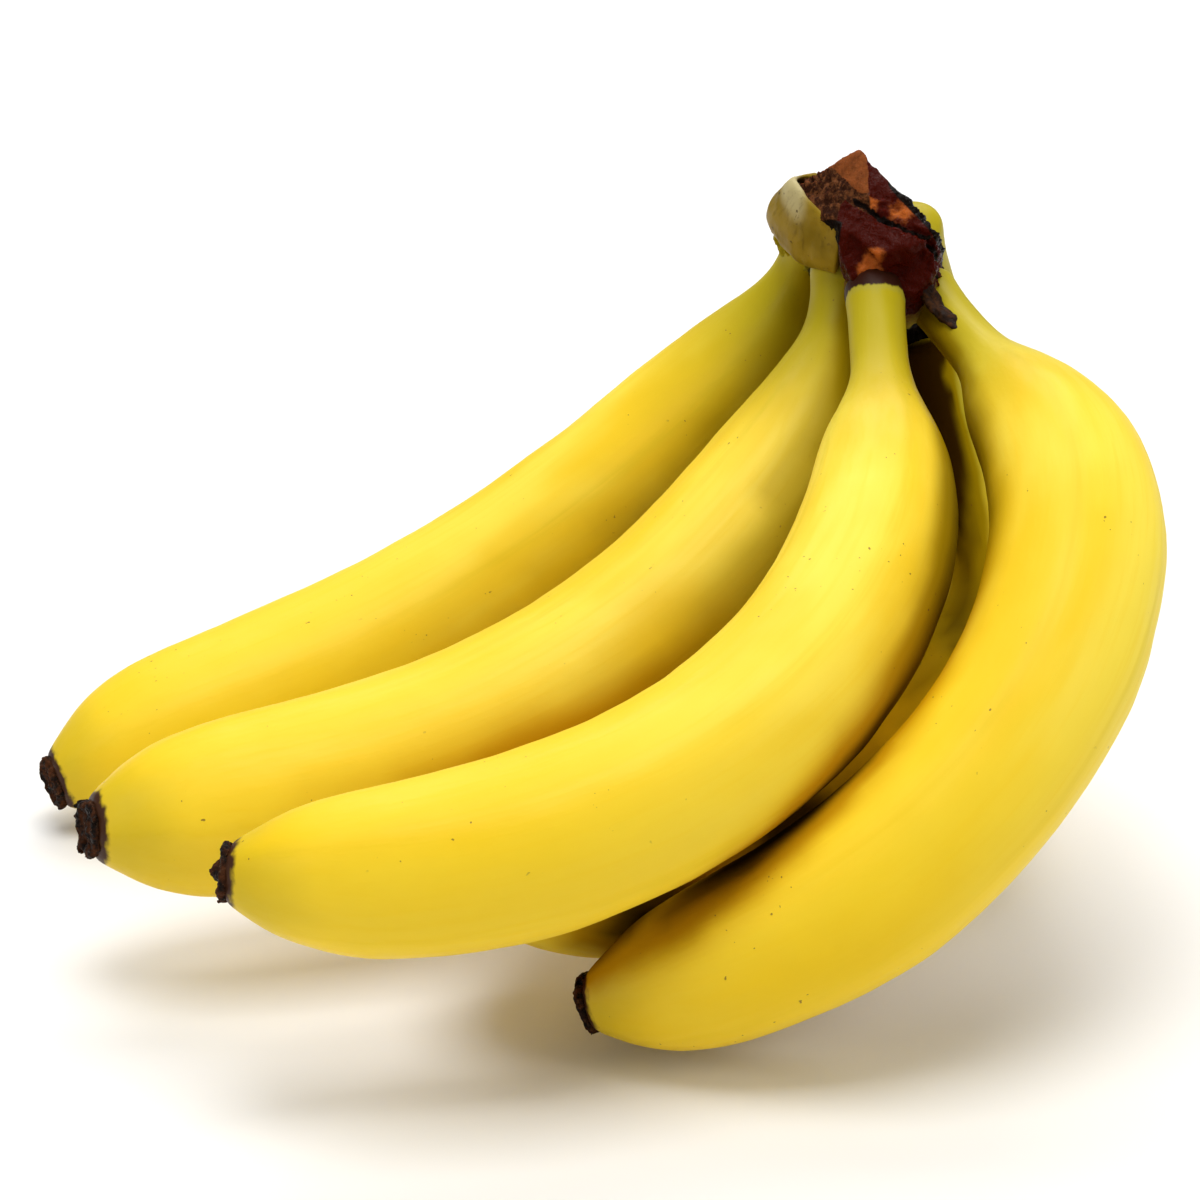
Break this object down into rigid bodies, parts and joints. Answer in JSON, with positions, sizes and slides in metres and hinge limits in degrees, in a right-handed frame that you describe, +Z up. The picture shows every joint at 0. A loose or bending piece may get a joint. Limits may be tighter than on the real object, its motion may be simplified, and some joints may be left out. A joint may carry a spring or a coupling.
{
  "type": "bunch of bananas",
  "caption": "Bunch of ripe yellow bananas joined at a cut brown crown, curving down to dark dried blossom ends, lying as it comes to rest on a table",
  "frame": {"origin": "middle of the underside of the bounding box, on the table the bunch lies on", "axes": "+Z up from the table; -Y toward the side the concave faces of the fingers look to; +X toward the crown"},
  "size_m": [0.2238, 0.24, 0.1393],
  "materials": {
    "peel": "smooth waxy banana peel, ripe yellow, greener at the necks",
    "crown_bark": "cut fibrous crown, brown, glossy where the sap has dried",
    "dried_blossom": "dry, rough, nearly black"
  },
  "bodies": {
    "root": {"crown": "crown_bark", "banana_1": "peel", "banana_2": "peel", "banana_3": "peel", "banana_4": "peel", "banana_5": "peel", "banana_6": "peel", "blossom_end_1": "dried_blossom", "blossom_end_2": "dried_blossom", "blossom_end_3": "dried_blossom", "blossom_end_4": "dried_blossom", "blossom_end_5": "dried_blossom", "blossom_end_6": "dried_blossom"}
  },
  "joints": []
}
